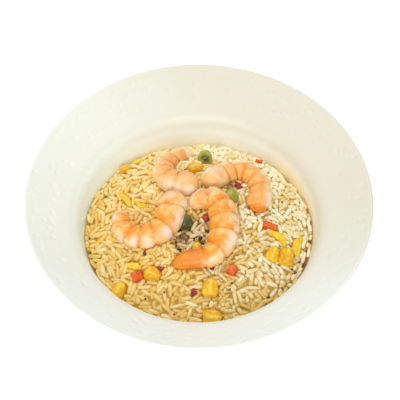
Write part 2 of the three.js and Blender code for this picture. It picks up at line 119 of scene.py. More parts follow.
class Finish:
    """A material in the making: its shader and the nodes that feed it."""

    def __init__(self, name, **settings):
        self.material = bpy.data.materials.new(name)
        self.material.use_nodes = True
        self.tree = self.material.node_tree
        self.shader = self.tree.nodes["Principled BSDF"]
        for key, value in settings.items():
            self.shader.inputs[key.replace("_", " ").title()].default_value = value
        self.place = self.node("ShaderNodeTexCoord").outputs["Object"]

    def node(self, kind, inputs=None, **settings):
        made = self.tree.nodes.new(kind)
        for key, value in settings.items():
            setattr(made, key, value)
        for key, value in (inputs or {}).items():
            self.feed(made.inputs[key], value)
        return made

    def feed(self, socket, value):
        if isinstance(value, bpy.types.NodeSocket):
            self.tree.links.new(value, socket)
        else:
            socket.default_value = value

    def noise(self, scale, detail=2.0, distortion=0.0, place=None):
        """Soft noise with about that many patches to the metre."""
        inputs = {"Vector": place or self.place, "Scale": scale, "Detail": detail, "Distortion": distortion}
        return self.node("ShaderNodeTexNoise", inputs).outputs["Fac"]

    def stretched(self, x, y, z):
        """The place on the piece with each axis stretched."""
        inputs = {"Vector": self.place, "Scale": (x, y, z)}
        return self.node("ShaderNodeMapping", inputs).outputs["Vector"]

    def near(self, place, core, reach):
        """1 within core metres of a place in millimetres, fading to 0 at reach metres."""
        spot = tuple(value * MM for value in place)
        away = self.node("ShaderNodeVectorMath", {0: self.place, 1: spot}, operation="DISTANCE")
        return self.between(away.outputs["Value"], core, reach, 1, 0)

    def axes(self):
        """How far to the right, to the back and up a place on the piece is, in metres."""
        apart = self.node("ShaderNodeSeparateXYZ", {"Vector": self.place})
        return tuple(apart.outputs)

    def worn(self, name):
        """A value that the mesh carries at each corner."""
        return self.node("ShaderNodeAttribute", attribute_name=name).outputs["Fac"]

    def math(self, operation, first, second, clamp=False):
        made = self.node("ShaderNodeMath", {0: first, 1: second}, operation=operation, use_clamp=clamp)
        return made.outputs[0]

    def times(self, first, second, clamp=False):
        return self.math("MULTIPLY", first, second, clamp)

    def between(self, value, low, high, to_low=0.0, to_high=1.0):
        inputs = {"Value": value, "From Min": low, "From Max": high, "To Min": to_low, "To Max": to_high}
        return self.node("ShaderNodeMapRange", inputs, interpolation_type="SMOOTHSTEP").outputs["Result"]

    def patches(self, scale, low, high, share=1.0):
        """Soft patches of noise, 0 between them and share in their middles."""
        return self.between(self.noise(scale), low, high, 0, share)

    def ramp(self, factor, stops):
        made = self.node("ShaderNodeValToRGB", {"Fac": factor})
        elements = made.color_ramp.elements
        while len(elements) < len(stops):
            elements.new(0.5)
        for element, (position, colour) in zip(elements, stops):
            element.position = position
            element.color = shade(colour)
        return made.outputs["Color"]

    def mix(self, factor, first, second):
        """The first colour where the factor is 0, and the second where it is 1."""
        made = self.node("ShaderNodeMix", data_type="RGBA")
        for socket, value in zip((0, 6, 7), (factor, shade(first), shade(second))):
            self.feed(made.inputs[socket], value)
        return made.outputs[2]

    def colour(self, value):
        self.feed(self.shader.inputs["Base Color"], value)

    def roughness(self, value):
        self.feed(self.shader.inputs["Roughness"], value)

    def bump(self, height, distance, strength=1.0):
        inputs = {"Height": height, "Distance": distance, "Strength": strength}
        self.feed(self.shader.inputs["Normal"], self.node("ShaderNodeBump", inputs).outputs["Normal"])

    def juicy(self, weight, depth, colours):
        """Light that sinks in by about depth metres, further for red than for blue."""
        self.shader.inputs["Subsurface Weight"].default_value = weight
        self.shader.inputs["Subsurface Scale"].default_value = depth
        self.shader.inputs["Subsurface Radius"].default_value = colours

    def painted_glow(self, colour, strength):
        """A faint painted glow, though the surface is no lamp: it stands in for the light that seeps through
        the food or bounces off its neighbours, and lifts the shade.
        """
        self.feed(self.shader.inputs["Emission Color"], colour)
        self.shader.inputs["Emission Strength"].default_value = strength


# Shapes


def mesh_of(name, bm):
    mesh = bpy.data.meshes.new(name)
    bm.to_mesh(mesh)
    bm.free()
    return mesh


def finished(name, bm, material, replaces=(), corner_values=None):
    """Turns a shape in millimetres into a piece of the dish, in metres."""
    bmesh.ops.scale(bm, vec=(MM, MM, MM), verts=bm.verts)
    return placed(name, mesh_of(name, bm), material, replaces, corner_values)


def placed(name, mesh, material, replaces=(), corner_values=None):
    mesh.polygons.foreach_set("use_smooth", [True] * len(mesh.polygons))
    mesh.materials.append(material)
    for key, values in (corner_values or {}).items():
        layer = mesh.attributes.new(key, "FLOAT", "POINT")
        layer.data.foreach_set("value", np.asarray(values, np.float32))
    piece = linked(name, mesh)
    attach(piece, "root")
    if replaces:
        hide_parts(*replaces)
    return piece


def rough(place, size, seed=0.0):
    """Soft noise from -1 to 1 whose lumps are about size millimetres across."""
    return noise.noise(Vector(place) / size + Vector((seed, seed * 0.7, -seed)))


def smooth_step(low, high, value):
    share = min(max((value - low) / (high - low), 0), 1)
    return share * share * (3 - 2 * share)


def bell(away, width):
    """1 at the middle of a soft bump, and about a third at its width."""
    return math.exp(-((away / width) ** 2))


def ball(around, along):
    """A ball of radius 1 with its poles above and below."""
    bm = bmesh.new()
    bmesh.ops.create_uvsphere(bm, u_segments=around, v_segments=along, radius=1)
    return bm


def lengthways_ball(around, along):
    """The same ball with its poles at the ends of the X axis."""
    bm = ball(around, along)
    bmesh.ops.rotate(bm, cent=(0, 0, 0), matrix=Matrix.Rotation(math.pi / 2, 3, "Y"), verts=bm.verts)
    return bm


def squared(y, z, power):
    """Draws a round section out towards a square one."""
    ring = math.hypot(y, z)
    flat = max(abs(y), abs(z)) / ring if ring > 1e-6 else 1
    return y / flat ** power, z / flat ** power


def boxy(value, power):
    return math.copysign(abs(value) ** power, value)


def bezier(start, first, second, end, steps):
    points = []
    for i in range(1, steps + 1):
        t = i / steps
        weights = ((1 - t) ** 3, 3 * t * (1 - t) ** 2, 3 * t * t * (1 - t), t ** 3)
        points.append(tuple(
            sum(w * p[axis] for w, p in zip(weights, (start, first, second, end))) for axis in (0, 1)
        ))
    return points


def arc_corner(start, corner, end, steps):
    """A rounded corner from start to end that leans towards corner."""
    first = tuple(s + (c - s) * 2 / 3 for s, c in zip(start, corner))
    second = tuple(e + (c - e) * 2 / 3 for e, c in zip(end, corner))
    return bezier(start, first, second, end, steps)


def straight(start, end, spacing):
    steps = max(1, round(math.dist(start, end) / spacing))
    return [tuple(s + (e - s) * i / steps for s, e in zip(start, end)) for i in range(1, steps + 1)]


def turned(profile, steps):
    """A profile of radius and height, turned about the upright axis and closed.

    One eighth is spun, and then doubled three times, which is far quicker than one spin.
    """
    bm = bmesh.new()
    corners = [bm.verts.new((radius, 0, height)) for radius, height in profile]
    edges = [bm.edges.new(pair) for pair in zip(corners, corners[1:])]
    sector = math.pi / 4
    bmesh.ops.spin(
        bm, geom=corners + edges, cent=(0, 0, 0), axis=(0, 0, 1), angle=sector, steps=steps // 8
    )
    for doubling in (1, 2, 4):
        copied = bmesh.ops.duplicate(bm, geom=bm.verts[:] + bm.edges[:] + bm.faces[:])["geom"]
        copied = [item for item in copied if isinstance(item, bmesh.types.BMVert)]
        turn = Matrix.Rotation(sector * doubling, 3, "Z")
        bmesh.ops.rotate(bm, cent=(0, 0, 0), matrix=turn, verts=copied)
    bmesh.ops.remove_doubles(bm, verts=bm.verts, dist=1e-3)
    bmesh.ops.delete(bm, geom=[edge for edge in bm.edges if not edge.link_faces], context="EDGES")
    bmesh.ops.recalc_face_normals(bm, faces=bm.faces)
    return bm


def heap_height(x, y):
    """The bare heap is a dome with low swells over it. Takes numbers or arrays."""
    reach = np.minimum(np.hypot(x, y) / WELL_RADIUS, 1)
    dome = HEAP_RISE * (1 - reach ** HEAP_POWER)
    swell = 0.9 * np.sin(x / 9 + 1) * np.cos(y / 11 - 0.5)
    ripple = 0.5 * np.sin((x + y) / 6.5 + 2)
    return RICE_LINE + dome + swell + ripple


def lay_on_heap(bm, place, lift, turn=0, tip=0):
    """Moves a shape onto the heap: turn is about the upright, tip raises its +X end."""
    x, y = place
    slope_x = (heap_height(x + 1, y) - heap_height(x - 1, y)) / 2
    slope_y = (heap_height(x, y + 1) - heap_height(x, y - 1)) / 2
    up = Vector((-slope_x, -slope_y, 1)).normalized()
    lean = Vector((0, 0, 1)).rotation_difference(up)
    spin = Matrix.Rotation(radians(turn), 4, "Z") @ Matrix.Rotation(-radians(tip), 4, "Y")
    middle = Vector((x, y, float(heap_height(x, y)))) + up * lift
    laid = Matrix.Translation(middle) @ lean.to_matrix().to_4x4() @ spin
    bmesh.ops.transform(bm, matrix=laid, verts=bm.verts)


# Bowl

BOWL_TURNS = 640
PITS = 240
PIT_DEPTH = 0.5
PIT_RADIUS = (1.1, 2.1)
FINE_ROW = 0.75
COARSE_ROW = 2.4
# The rim's rise for each millimetre outwards, and the wall's run outwards for each one of height
RIM_RISE = (RIM_HEIGHT - LIP_HEIGHT - LIP_ROUND / 2) / (RIM_RADIUS - EDGE_ROUND - LIP_RADIUS - LIP_ROUND)
WALL_LEAN = 0.21
LIP_SOFT = 4.5
LIP_START = (LIP_RADIUS + LIP_ROUND + LIP_SOFT, LIP_HEIGHT + LIP_ROUND / 2 + LIP_SOFT * RIM_RISE)


def well_profile(spacing):
    """From the soft lip down the wall and over the floor to the middle."""
    lip_end = (LIP_RADIUS - 0.6 - LIP_SOFT * WALL_LEAN, LIP_HEIGHT - LIP_ROUND - LIP_SOFT)
    wall_foot = (WELL_RADIUS, RICE_LINE)
    floor = (FLOOR_RADIUS, FLOOR_HEIGHT)
    points = arc_corner(LIP_START, (LIP_RADIUS - 0.1, LIP_HEIGHT), lip_end, 12)
    points += straight(lip_end, wall_foot, spacing)
    rounding = ((WELL_RADIUS - 2.2, FLOOR_HEIGHT + 3.5), (FLOOR_RADIUS + 10, FLOOR_HEIGHT))
    points += bezier(wall_foot, *rounding, floor, 14)
    return points + straight(floor, (0, FLOOR_HEIGHT), 5)


def bowl_profile():
    foot_in, foot_out = FOOT_RADIUS - FOOT_HALF_WIDTH, FOOT_RADIUS + FOOT_HALF_WIDTH
    wall_out, lip_out = WELL_RADIUS + CLAY, LIP_RADIUS + CLAY
    points = [(0, FOOT_HEIGHT)] + straight((0, FOOT_HEIGHT), (foot_in - 1.4, FOOT_HEIGHT), 7)
    points += arc_corner(points[-1], (foot_in - 0.4, FOOT_HEIGHT), (foot_in - 0.1, 0.9), 4)
    points += arc_corner(points[-1], (foot_in, 0), (foot_in + 0.9, 0), 4)
    points += [(foot_out - 0.9, 0)]
    points += arc_corner(points[-1], (foot_out, 0), (foot_out + 0.2, 0.9), 4)
    beside_foot = (foot_out + 2.4, FOOT_HEIGHT + 0.02)
    points += arc_corner(points[-1], (foot_out + 0.5, FOOT_HEIGHT - 0.2), beside_foot, 4)
    rounding = ((foot_out + 17, FOOT_HEIGHT), (wall_out - 1, FLOOR_HEIGHT + 2))
    points += bezier(beside_foot, *rounding, (wall_out, RICE_LINE), 18)
    points += straight(points[-1], (lip_out - 0.7, LIP_HEIGHT - CLAY - 1.4), COARSE_ROW)
    points += arc_corner(points[-1], (lip_out + 0.2, LIP_HEIGHT - 1.6), (lip_out + 4, LIP_HEIGHT + 0.4), 5)
    points += straight(points[-1], (RIM_RADIUS - EDGE_ROUND, RIM_HEIGHT - CLAY + 0.6), COARSE_ROW)
    points += arc_corner(points[-1], (RIM_RADIUS, RIM_HEIGHT - 3), (RIM_RADIUS, RIM_HEIGHT - EDGE_ROUND), 5)
    points += arc_corner(points[-1], (RIM_RADIUS, RIM_HEIGHT), (RIM_RADIUS - EDGE_ROUND, RIM_HEIGHT), 5)
    points += straight(points[-1], LIP_START, FINE_ROW)
    return points + well_profile(COARSE_ROW)


def press_pits(bm, chance):
    """Shallow round pits in the glaze of the rim, more of them towards its edge."""
    steep = math.hypot(1, RIM_RISE)
    corners = list(bm.verts)
    places = np.array([corner.co for corner in corners])
    radius = np.hypot(places[:, 0], places[:, 1])
    on_top = places[:, 2] > LIP_HEIGHT + 1 + (radius - LIP_RADIUS - LIP_ROUND) * RIM_RISE
    chosen = np.nonzero(on_top & (radius > LIP_RADIUS + 4) & (radius < RIM_RADIUS - 1))[0]
    top = places[chosen]
    sunk = np.zeros(len(chosen))
    for _ in range(PITS):
        share = chance.random() ** 0.62
        reach = LIP_RADIUS + 8 + (RIM_RADIUS - LIP_RADIUS - 11) * share
        angle = 2 * math.pi * chance.random()
        size = chance.uniform(*PIT_RADIUS)
        depth = PIT_DEPTH * chance.uniform(0.5, 1)
        across = (top[:, 0] - reach * math.cos(angle)) ** 2 + (top[:, 1] - reach * math.sin(angle)) ** 2
        bowl_shape = np.clip(1 - across / size ** 2, 0, 1) ** 1.5
        sunk = np.maximum(sunk, depth * bowl_shape)
    for index, depth in zip(chosen, sunk):
        if depth > 0:
            outward = Vector((*places[index, :2], 0)).normalized()
            corners[index].co -= (Vector((0, 0, 1)) - outward * RIM_RISE) * (float(depth) / steep)


def inside_wall(finish, height):
    """1 on the wall of the well, and 0 on the rim, under the rice and outside."""
    out = finish.node("ShaderNodeVectorMath", {0: finish.stretched(1, 1, 0)}, operation="LENGTH")
    beyond = finish.math("SUBTRACT", out.outputs["Value"], finish.times(height, WALL_LEAN))
    wall = (WELL_RADIUS - WALL_LEAN * RICE_LINE) * MM
    inside = finish.between(beyond, wall + 3.5 * MM, wall + 1.2 * MM)
    return finish.times(inside, finish.between(height, 16 * MM, 20 * MM))


def glaze():
    """Off-white, with painted warm shade at the far right, and on the wall above the rice painted paler
    light, a painted warm reflection of the rice and a painted glow.
    """
    finish = Finish("off_white_glaze", roughness=0.36, coat_weight=0.1, coat_roughness=0.15)
    x, y, z = finish.axes()
    cloud = finish.noise(38, 3)
    mottle = finish.noise(420)
    body = finish.ramp(cloud, [(0.3, (238, 242, 231)), (0.7, (241, 244, 233))])
    body = finish.mix(finish.between(mottle, 0.35, 0.7, 0, 0.35), body, (245, 245, 237))
    # Painted warm shade: the far right of the bowl is painted darker and warmer, where less light and more
    # warm reflection falls.
    painted_warm_shade_right = finish.between(finish.math("ADD", x, y), -0.02, 0.12, 0, 0.9)
    body = finish.mix(painted_warm_shade_right, body, (226, 221, 202))
    # Painted light: the glaze is painted paler and cooler towards the front.
    body = finish.mix(finish.between(y, -0.03, -0.09, 0, 0.8), body, (246, 252, 246))
    inside = inside_wall(finish, z)
    right = finish.between(x, 0.02, 0.06)
    far = finish.between(y, 0.05, 0.068)
    # Painted light: the wall of the well is painted paler and cooler low down, towards the rice.
    pale = finish.times(inside, finish.between(z, 38 * MM, 30 * MM))
    body = finish.mix(pale, body, (244, 251, 250))
    # Painted reflection: the wall is painted warmer towards the rice, more at the right, for the warm light
    # that the rice throws onto it.
    painted_rice_reflection = finish.math("MAXIMUM", right, finish.between(cloud, 0.2, 0.8, 0.25, 0.6))
    painted_rice_reflection = finish.times(painted_rice_reflection, finish.between(z, 37 * MM, RICE_LINE * MM))
    painted_rice_reflection = finish.times(painted_rice_reflection, inside)
    body = finish.mix(painted_rice_reflection, body, finish.mix(right, (246, 240, 214), (250, 232, 186)))
    # Painted glow on the wall of the well, tinted by zone, for the light that bounces onto it from the rice
    # and the bowl.
    low = finish.between(z, 27 * MM, RICE_LINE * MM)
    bounce = finish.mix(right, finish.mix(low, (99, 170, 196), (137, 149, 63)), (0, 0, 0))
    bounce = finish.mix(far, bounce, (108, 131, 149))
    far_low = finish.times(far, finish.between(z, 29 * MM, 19 * MM))
    bounce = finish.mix(far_low, bounce, (255, 243, 211))
    finish.painted_glow(finish.mix(inside, (0, 0, 0), bounce), 0.2)
    bare_clay = finish.between(z, 0.25 * MM, 0.7 * MM, 1, 0)
    finish.colour(finish.mix(bare_clay, body, (214, 196, 166)))
    glazed = finish.between(mottle, 0.2, 0.8, 0.34, 0.42)
    finish.roughness(finish.mix(bare_clay, glazed, (0.8, 0.8, 0.8, 1)))
    finish.bump(finish.noise(900), 0.00006, 0.35)
    return finish.material


# Rice core

# How much higher the pile is at the side walls, and lower at the far one
SIDE_RISE = 1.4
FAR_FALL = 4.2
# How far the core lies at least under the pile's level, and under the grains settled on it
CORE_DROP = 2.6
CORE_BELOW = 1.4
CORE_TURNS = 300
CORE_ROW = 1.1
AIR = 0.35

# The middle of the rice that is dark with sauce and with painted shade, between the front and the left prawn
SAUCE_AND_SHADE = (-3.5, -14.5, 38)
# Hollows beside the prawns: x and y of the middle, size across, and depth
HOLLOWS = ((-9.6, -13, 6, 4.5), (19.6, 24, 4.5, 4.2), (6, -1.5, 3.5, 3), (-2, -8, 4, 2))


def even_level(x, y):
    """Grains lie higher at the left and right wall, and lower at the far one."""
    edge = np.clip(np.hypot(x, y) / WELL_RADIUS, 0, 1)
    level = heap_height(x, y) + edge ** 3 * SIDE_RISE * np.abs(x) / WELL_RADIUS
    return level - edge ** 6 * FAR_FALL * np.maximum(y, 0) / WELL_RADIUS


def pile_level(x, y):
    """The even level with its hollows."""
    level = even_level(x, y)
    for hollow_x, hollow_y, across, depth in HOLLOWS:
        level = level - depth * np.exp(-((x - hollow_x) ** 2 + (y - hollow_y) ** 2) / across ** 2)
    return level


def core_height(x, y):
    return pile_level(x, y) - CORE_DROP


def smoothed(heights, reach):
    """Each height becomes the mean of those around it, three times over."""
    for _ in range(3):
        for axis in (0, 1):
            shifted = [np.roll(heights, step, axis) for step in range(-reach, reach + 1)]
            heights = np.mean(shifted, axis=0)
    return heights


def rice_core(pile):
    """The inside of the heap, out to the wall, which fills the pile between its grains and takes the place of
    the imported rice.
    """
    inside = [(radius - AIR, height + AIR) for radius, height in reversed(well_profile(COARSE_ROW))]
    below = RICE_LINE - CORE_DROP - 1.5
    profile = [(0, FLOOR_HEIGHT + AIR)] + [place for place in inside if place[0] > 1 and place[1] < below]
    edge = profile[-1][0]
    profile += [(radius, RIM_HEIGHT) for radius, _ in straight((edge + 0.6, 0), (0, 0), CORE_ROW)]
    bm = turned(profile, CORE_TURNS)
    filled = smoothed(pile, 2)
    for corner in bm.verts:
        if corner.co.z > RIM_HEIGHT - 1:
            x, y = corner.co.x, corner.co.y
            lump = abs(rough((x, y, 0), 2.6)) * 0.9 + rough((x, y, 9), 1.2) * 0.3
            top = height_at(filled, x, y)
            corner.co.z = max(float(core_height(x, y)) - 0.5, top - CORE_BELOW) + lump
    return finished("rice_core", bm, packed_rice(), ["rice"])


def packed_rice():
    finish = Finish("packed_rice", roughness=0.45)
    grainy = finish.noise(520, 3, 0.6)
    body = finish.ramp(grainy, [(0.3, (196, 156, 66)), (0.55, (218, 182, 94)), (0.75, (232, 204, 130))])
    # Sauce and painted shade: the core is darker brown around the middle between the front and the left
    # prawn.
    body = finish.mix(finish.near(SAUCE_AND_SHADE, 0.009, 0.017), body, (112, 72, 42))
    finish.colour(body)
    # Painted glow of the core's own colour, which lifts the shade in the gaps between grains.
    finish.painted_glow(body, 0.1)
    finish.bump(finish.noise(900), 0.0003, 0.6)
    return finish.material


# Grains

# Where a grain is tried against what lies under it, as shares of its length
STATIONS = np.array([-0.42, -0.25, -0.08, 0.08, 0.25, 0.42])
# The grid of heights that the grains are settled on, in millimetres
CELL = 0.5
HALF_GRID = 78
GRID_STEPS = int(2 * HALF_GRID / CELL) + 1
# Places that are tried for each grain, and how deep it presses into what is under it
CHOICES = 7
PRESS = 0.75
# Shares of a grain's width: what holds the next grain up, its height, and how far aside of its
# middle line it is tried as well, where it may sink by SIDE_DROP of half its height
BESIDE = 0.8
GRAIN_FLATNESS = 0.86
GRAIN_SIDE = 0.3
SIDE_DROP = 0.2
# How high the first grains lie over the core, and how far one may reach into a topping
CORE_SKIN = 0.2
SINK_UNDER = 0.35
# The steepest that a grain lies, and the highest that it stands over the pile
STEEPEST = 0.55
PILE_TOP = 2.0
WALL_GAP = 0.6
WALL_REACH = WELL_RADIUS - 1.2
GRAIN_KINDS = {
    "rice_whole": {"share": 0.46, "length": (6.8, 9.6), "width": (2.4, 3.0), "bend": 0.12, "blunt": 4.4},
    "rice_curved": {"share": 0.22, "length": (6.6, 9.0), "width": (2.3, 2.9), "bend": 0.42, "blunt": 4.2},
    "rice_broken": {"share": 0.32, "length": (3.2, 5.4), "width": (2.3, 3.0), "bend": 0.06, "blunt": 5.0},
}
# Grains that are tried, the share of them that lie along the wall, and how far in those lie
GRAINS = 8000
EDGE_SHARE = 0.16
EDGE_BAND = 4.5


def grain_shape(bend, blunt):
    """One grain, 2 long and 2 thick, with its ends along X: blunt ends and a slight bow."""
    bm = ball(8, 6)
    for corner in bm.verts:
        along = corner.co.z
        ring = math.hypot(corner.co.x, corner.co.y)
        girth = (1 - abs(along) ** blunt) ** 0.55 * (1 - 0.1 * along)
        side, up = (corner.co.x / ring * girth, corner.co.y / ring * girth) if ring > 1e-6 else (0, 0)
        corner.co = Vector((along, side + bend * (1 - along * along), up))
    bmesh.ops.recalc_face_normals(bm, faces=bm.faces)
    bm.verts.index_update()
    corners = np.array([corner.co for corner in bm.verts])
    faces = [[corner.index for corner in face.verts] for face in bm.faces]
    bm.free()
    return corners, faces


def grid_index(values):
    return np.clip(((values + HALF_GRID) / CELL).astype(int), 0, GRID_STEPS - 1)


def height_at(heights, x, y):
    return float(heights[grid_index(np.array(x)), grid_index(np.array(y))])


def topping_undersides(trees):
    """How high the underside of a topping is over each cell of the grid."""
    under = np.full((GRID_STEPS, GRID_STEPS), 1e3)
    upward = Vector((0, 0, 1))
    for tree, low, high in trees:
        i_low, j_low = grid_index(np.array([low.x, low.y]))
        i_high, j_high = grid_index(np.array([high.x, high.y])) + 1
        for i in range(i_low, i_high):
            for j in range(j_low, j_high):
                spot = Vector((i * CELL - HALF_GRID, j * CELL - HALF_GRID, 0))
                hit = tree.ray_cast(spot, upward)[0]
                if hit is not None:
                    under[i, j] = min(under[i, j], hit.z)
    return under


def tried_places(chance):
    """Places and turns that are tried for one grain. It lies in the flow, or along the wall."""
    reach = (WELL_RADIUS - WALL_GAP) * np.sqrt(chance.random(CHOICES))
    angle = 2 * math.pi * chance.random(CHOICES)
    along_wall = chance.random() < EDGE_SHARE
    if along_wall:
        reach = WALL_REACH + 0.4 - EDGE_BAND * chance.random(CHOICES) ** 1.5
    x, y = reach * np.cos(angle), reach * np.sin(angle)
    flow = 1.3 * np.sin(x / 13 + 0.6) + 1.2 * np.cos(y / 15 - 0.4 + x / 40)
    turn = flow + chance.normal(0, 0.75, CHOICES)
    if along_wall:
        turn = angle + math.pi / 2 + chance.normal(0, 0.2, CHOICES)
    return x, y, turn


def held_up(support, at_x, at_y, turn, width, height):
    """How high a grain is held at its stations, under its middle line or under its sides."""
    side_x = -np.sin(turn)[:, None] * width * GRAIN_SIDE
    side_y = np.cos(turn)[:, None] * width * GRAIN_SIDE
    middle = support[grid_index(at_x), grid_index(at_y)]
    sides = np.maximum(
        support[grid_index(at_x + side_x), grid_index(at_y + side_y)],
        support[grid_index(at_x - side_x), grid_index(at_y - side_y)],
    )
    return np.maximum(middle, sides - SIDE_DROP * height / 2)


def settle_grains(chance, under):
    """Drops grains one by one: each lies on what is under it, where the pile is lowest."""
    across = np.arange(GRID_STEPS) * CELL - HALF_GRID
    grid_x, grid_y = np.meshgrid(across, across, indexing="ij")
    support = core_height(grid_x, grid_y) + CORE_SKIN
    names = list(GRAIN_KINDS)
    shares = np.array([GRAIN_KINDS[name]["share"] for name in names])
    grains = []
    for _ in range(GRAINS):
        kind = names[chance.choice(len(names), p=shares)]
        length = chance.uniform(*GRAIN_KINDS[kind]["length"])
        width = chance.uniform(*GRAIN_KINDS[kind]["width"])
        height = width * GRAIN_FLATNESS
        x, y, turn = tried_places(chance)
        along = length * STATIONS
        at_x = x[:, None] + along * np.cos(turn)[:, None]
        at_y = y[:, None] + along * np.sin(turn)[:, None]
        heights = held_up(support, at_x, at_y, turn, width, height)
        lids = under[grid_index(at_x), grid_index(at_y)]
        over = (heights - pile_level(at_x, at_y)).mean(axis=1)
        for pick in np.argsort(over):
            grain = rest_on(heights[pick], along, height, at_x[pick], at_y[pick], lids[pick])
            if grain is None:
                continue
            level, slope = grain
            grains.append({
                "kind": kind, "x": x[pick], "y": y[pick], "z": level, "turn": turn[pick], "slope": slope,
                "length": length, "width": width, "height": height, "roll": chance.uniform(0, 2 * math.pi),
                "tone": chance.random(), "over": level - even_level(x[pick], y[pick]),
            })
            raise_support(support, grains[-1], across)
            break
    return grains, support


def rest_on(heights, along, height, at_x, at_y, lids):
    """The level and slope of a grain over those heights, or None where it can't lie."""
    best = max(
        (
            (heights[i] * along[j] - heights[j] * along[i]) / (along[j] - along[i]),
            (heights[j] - heights[i]) / (along[j] - along[i]),
        )
        for i in (0, 1, 2) for j in (3, 4, 5)
    )
    slope = min(max(best[1], -STEEPEST), STEEPEST)
    level = (heights - slope * along).max() + height / 2 - PRESS
    line = level + slope * along
    reach = np.hypot(at_x, at_y) - WALL_REACH
    lifted = max(0, (RICE_LINE + reach / np.where(reach > 0, WALL_LEAN, 0.6) - line).max())
    level, line = level + lifted, line + lifted
    if (line - pile_level(at_x, at_y)).max() > PILE_TOP:
        return None
    if (line + height / 2 > lids + SINK_UNDER).any():
        return None
    return level, slope


def raise_support(support, grain, across):
    reach = grain["length"] / 2 + 1
    i_low, i_high = grid_index(np.array([grain["x"] - reach, grain["x"] + reach]))
    j_low, j_high = grid_index(np.array([grain["y"] - reach, grain["y"] + reach]))
    east = across[i_low:i_high + 1, None] - grain["x"]
    north = across[None, j_low:j_high + 1] - grain["y"]
    along = east * math.cos(grain["turn"]) + north * math.sin(grain["turn"])
    aside = north * math.cos(grain["turn"]) - east * math.sin(grain["turn"])
    inside = 1 - (2 * along / grain["length"]) ** 2 - (2 * aside / grain["width"] / BESIDE) ** 2
    top = grain["z"] + grain["slope"] * along + grain["height"] / 2 * np.sqrt(np.clip(inside, 0, 1))
    patch = support[i_low:i_high + 1, j_low:j_high + 1]
    patch[:] = np.where(inside > 0, np.maximum(patch, top), patch)


def grain_piece(kind, grains, material):
    """All grains of one kind as one piece, each with its tone, level and distance to its ends."""
    corners, faces = grain_shape(GRAIN_KINDS[kind]["bend"], GRAIN_KINDS[kind]["blunt"])
    own = [grain for grain in grains if grain["kind"] == kind]
    places, tones, levels, ends = [], [], [], []
    for grain in own:
        size = np.array([grain["length"], grain["width"], grain["height"]]) / 2
        tilt = Euler((grain["roll"], -math.atan(grain["slope"]), 0), "XYZ").to_matrix()
        turn = Matrix.Rotation(grain["turn"], 3, "Z") @ tilt
        places.append((corners * size) @ np.array(turn).T + [grain["x"], grain["y"], grain["z"]])
        tones.append(np.full(len(corners), grain["tone"]))
        levels.append(np.full(len(corners), grain["over"]))
        ends.append(np.abs(corners[:, 0]))
    shift = np.arange(len(own)) * len(corners)
    all_faces = [[int(corner + start) for corner in face] for start in shift for face in faces]
    mesh = bpy.data.meshes.new(kind)
    mesh.from_pydata(np.concatenate(places) * MM, [], all_faces)
    values = {"tone": np.concatenate(tones), "level": np.concatenate(levels), "tip": np.concatenate(ends)}
    return placed(kind, mesh, material, ["rice"], values)


def oily_grain():
    """A moist grain: golden on the left and creamier on the right, glassy towards its ends."""
    finish = Finish("oily_grain", roughness=0.36, coat_weight=0.15, coat_roughness=0.25)
    x, y, _ = finish.axes()
    right = finish.between(x, -0.045, 0.04)
    far = finish.between(y, 0.0, 0.06)
    apart = finish.times(finish.between(right, 0, 1, 0.45, 0.7), finish.between(far, 0, 1, 1, 0.4))
    spread = finish.times(finish.math("SUBTRACT", finish.worn("tone"), 0.5), apart)
    patches = finish.math("SUBTRACT", finish.noise(75), 0.5)
    patches = finish.times(patches, finish.between(right, 0, 1, 0.7, 1.2))
    mixed = finish.math("ADD", finish.math("ADD", spread, patches), finish.between(right, 0, 1, 0.4, 0.6))
    mixed = finish.math("ADD", mixed, finish.times(far, 0.2))
    mixed = finish.math("ADD", mixed, finish.between(x, 0.024, 0.05, 0, 0.2))
    body = finish.ramp(mixed, [
        (0.0, (206, 162, 68)),
        (0.3, (224, 190, 102)),
        (0.6, (236, 212, 148)),
        (0.95, (248, 238, 208)),
    ])
    glassy = finish.between(finish.worn("tip"), 0.55, 1.0, 0, 0.25)
    body = finish.mix(glassy, body, (230, 200, 124))
    eggy = finish.times(finish.patches(105, 0.52, 0.64), finish.between(right, 0, 1, 0.5, 0.2))
    body = finish.mix(eggy, body, (234, 188, 58))
    # Painted shade: grains that lie low in the pile are darker.
    low = finish.between(finish.worn("level"), -1.9, 0.4, 0.4, 0)
    body = finish.mix(low, body, (214, 174, 84))
    # Painted shade: grains deep in the hollows are much darker and browner.
    deep = finish.between(finish.worn("level"), -4.2, -1.8, 0.85, 0)
    body = finish.mix(deep, body, (104, 62, 36))
    body = finish.mix(finish.patches(1600, 0.55, 0.8, 0.3), body, (250, 238, 204))
    # Sauce and painted shade: grains around that middle are darker.
    sauced_and_shaded = finish.ramp(finish.worn("tone"), [
        (0.0, (132, 92, 56)),
        (0.3, (196, 166, 114)),
        (0.9, (234, 220, 190)),
    ])
    body = finish.mix(finish.times(finish.near(SAUCE_AND_SHADE, 0.009, 0.017), 0.75), body, sauced_and_shaded)
    # Painted shade: the rice is darker towards the front, near the lip of the bowl.
    front = finish.between(y, -0.015, -0.045, 0, 0.2)
    body = finish.mix(front, body, (214, 174, 82))
    finish.colour(body)
    # Painted glow of the grains' own colour, stronger at the far side and the left, which softens their
    # shade.
    soft = finish.math("MAXIMUM", far, finish.between(right, 0, 1, 0.8, 0.1))
    finish.painted_glow(finish.mix(finish.between(soft, 0, 1, 0.7, 0.15), body, (0, 0, 0)), 0.2)
    finish.juicy(0.4, 0.002, (1.0, 0.85, 0.55))
    finish.bump(finish.noise(1500), 0.0001, 0.4)
    return finish.material


# Prawns

